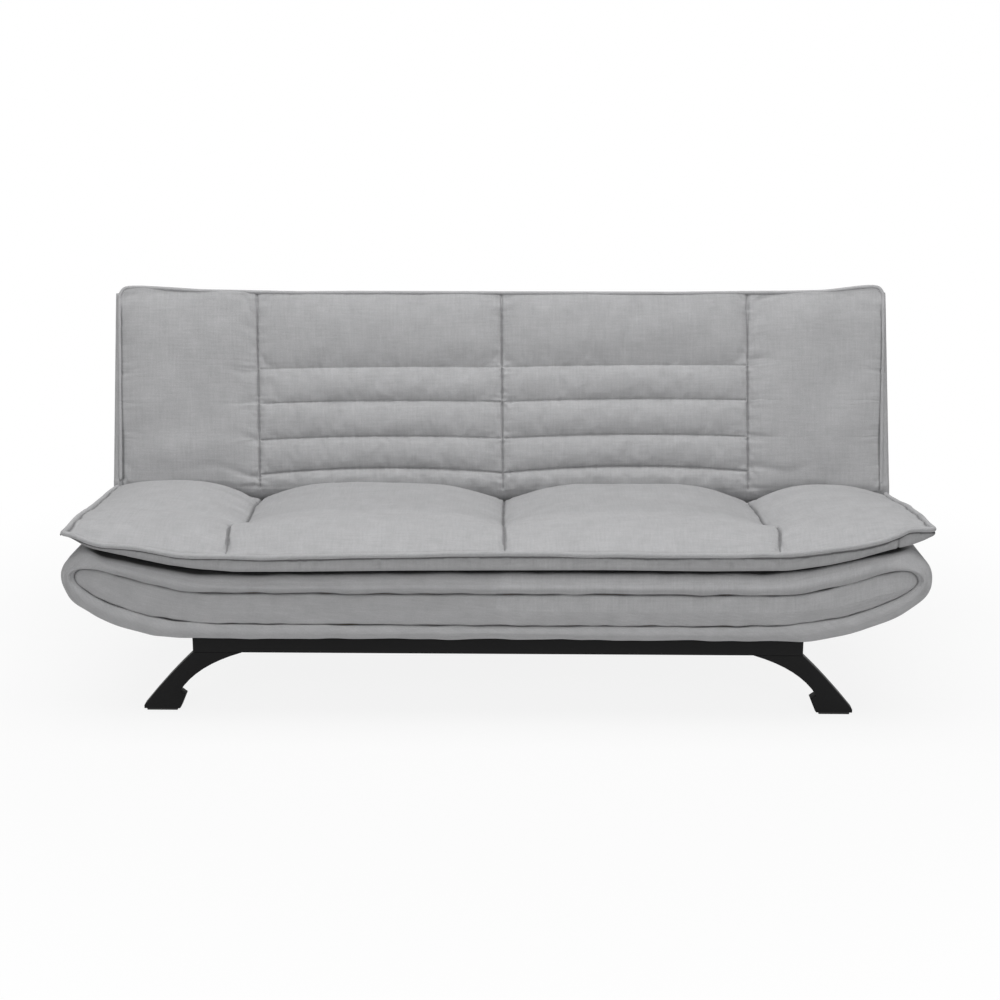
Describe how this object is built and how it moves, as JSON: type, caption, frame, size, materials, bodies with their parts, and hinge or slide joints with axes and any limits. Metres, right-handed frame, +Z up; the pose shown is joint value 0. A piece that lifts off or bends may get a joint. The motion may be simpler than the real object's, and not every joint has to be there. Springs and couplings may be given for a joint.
{
  "type": "click clack sofa bed",
  "caption": "Click clack sofa bed: box cushion seat with upswept ends on a boat-shaped padded base and splayed steel legs; channelled back folds flat on ratchet hinges",
  "frame": {"origin": "On the floor, under the middle of the whole sofa with its back upright", "axes": "+X along the sofa, +Y from its front to its back, +Z up"},
  "size_m": [1.97, 0.8788, 0.913],
  "materials": {
    "fabric": "matte",
    "dust_cloth": "matte",
    "felt": "matte",
    "timber": "matte",
    "black_steel": "satin",
    "zinc_steel": "satin",
    "black_plastic": "matte"
  },
  "bodies": {
    "base": {"base_bulkhead_left": "timber", "base_bulkhead_right": "timber", "base_dust_cover": "dust_cloth", "base_end_left": "fabric", "base_end_right": "fabric", "base_front_board": "timber", "base_front_panel": "fabric", "base_inset_panel": "fabric", "base_rear_board": "timber", "base_rear_panel": "fabric", "cross_bar_left": "black_steel", "cross_bar_right": "black_steel", "front_rail": "black_steel", "glide_front_left": "black_plastic", "glide_front_right": "black_plastic", "glide_rear_left": "black_plastic", "glide_rear_right": "black_plastic", "hinge_pawl_pin_left": "zinc_steel", "hinge_pawl_pin_right": "zinc_steel", "hinge_pawl_spring_left": "zinc_steel", "hinge_pawl_spring_right": "zinc_steel", "hinge_pivot_left": "zinc_steel", "hinge_pivot_right": "zinc_steel", "hinge_seat_arm_left": "zinc_steel", "hinge_seat_arm_right": "zinc_steel", "hinge_stop_pin_left": "zinc_steel", "hinge_stop_pin_right": "zinc_steel", "leg_front_left": "black_steel", "leg_front_right": "black_steel", "leg_rear_left": "black_steel", "leg_rear_right": "black_steel", "rear_rail": "black_steel", "seat_arm_bolt_left": "zinc_steel", "seat_arm_bolt_right": "zinc_steel", "seat_deck": "felt", "seat_pad": "fabric", "seat_spring_1": "zinc_steel", "seat_spring_2": "zinc_steel", "seat_spring_3": "zinc_steel", "seat_spring_4": "zinc_steel"},
    "backrest": {"back_arm_bolt_left": "zinc_steel", "back_arm_bolt_right": "zinc_steel", "back_bottom_board": "timber", "back_bulkhead_left": "timber", "back_bulkhead_right": "timber", "back_end_left": "fabric", "back_end_right": "fabric", "back_pad": "fabric", "back_rear_panel": "fabric", "back_spring_1": "zinc_steel", "back_spring_2": "zinc_steel", "back_spring_3": "zinc_steel", "back_top_board": "timber", "back_top_cover": "fabric", "hinge_back_arm_left": "zinc_steel", "hinge_back_arm_right": "zinc_steel"},
    "pawl_left": {"hinge_pawl_left": "zinc_steel"},
    "pawl_right": {"hinge_pawl_right": "zinc_steel"}
  },
  "joints": [
    {"name": "backrest_hinge", "type": "hinge", "parent": "base", "child": "backrest", "pos_m": [0, 0.15863, 0.366], "axis": [1, 0, 0], "range_deg": [-75, 7]},
    {"name": "pawl_left", "type": "hinge", "parent": "base", "child": "pawl_left", "pos_m": [-0.6949, 0.13664, 0.318], "axis": [1, 0, 0], "range_deg": [0, 8], "deforming": ["hinge_pawl_spring_left"]},
    {"name": "pawl_right", "type": "hinge", "parent": "base", "child": "pawl_right", "pos_m": [0.6949, 0.13664, 0.318], "axis": [1, 0, 0], "range_deg": [0, 8], "deforming": ["hinge_pawl_spring_right"]}
  ]
}
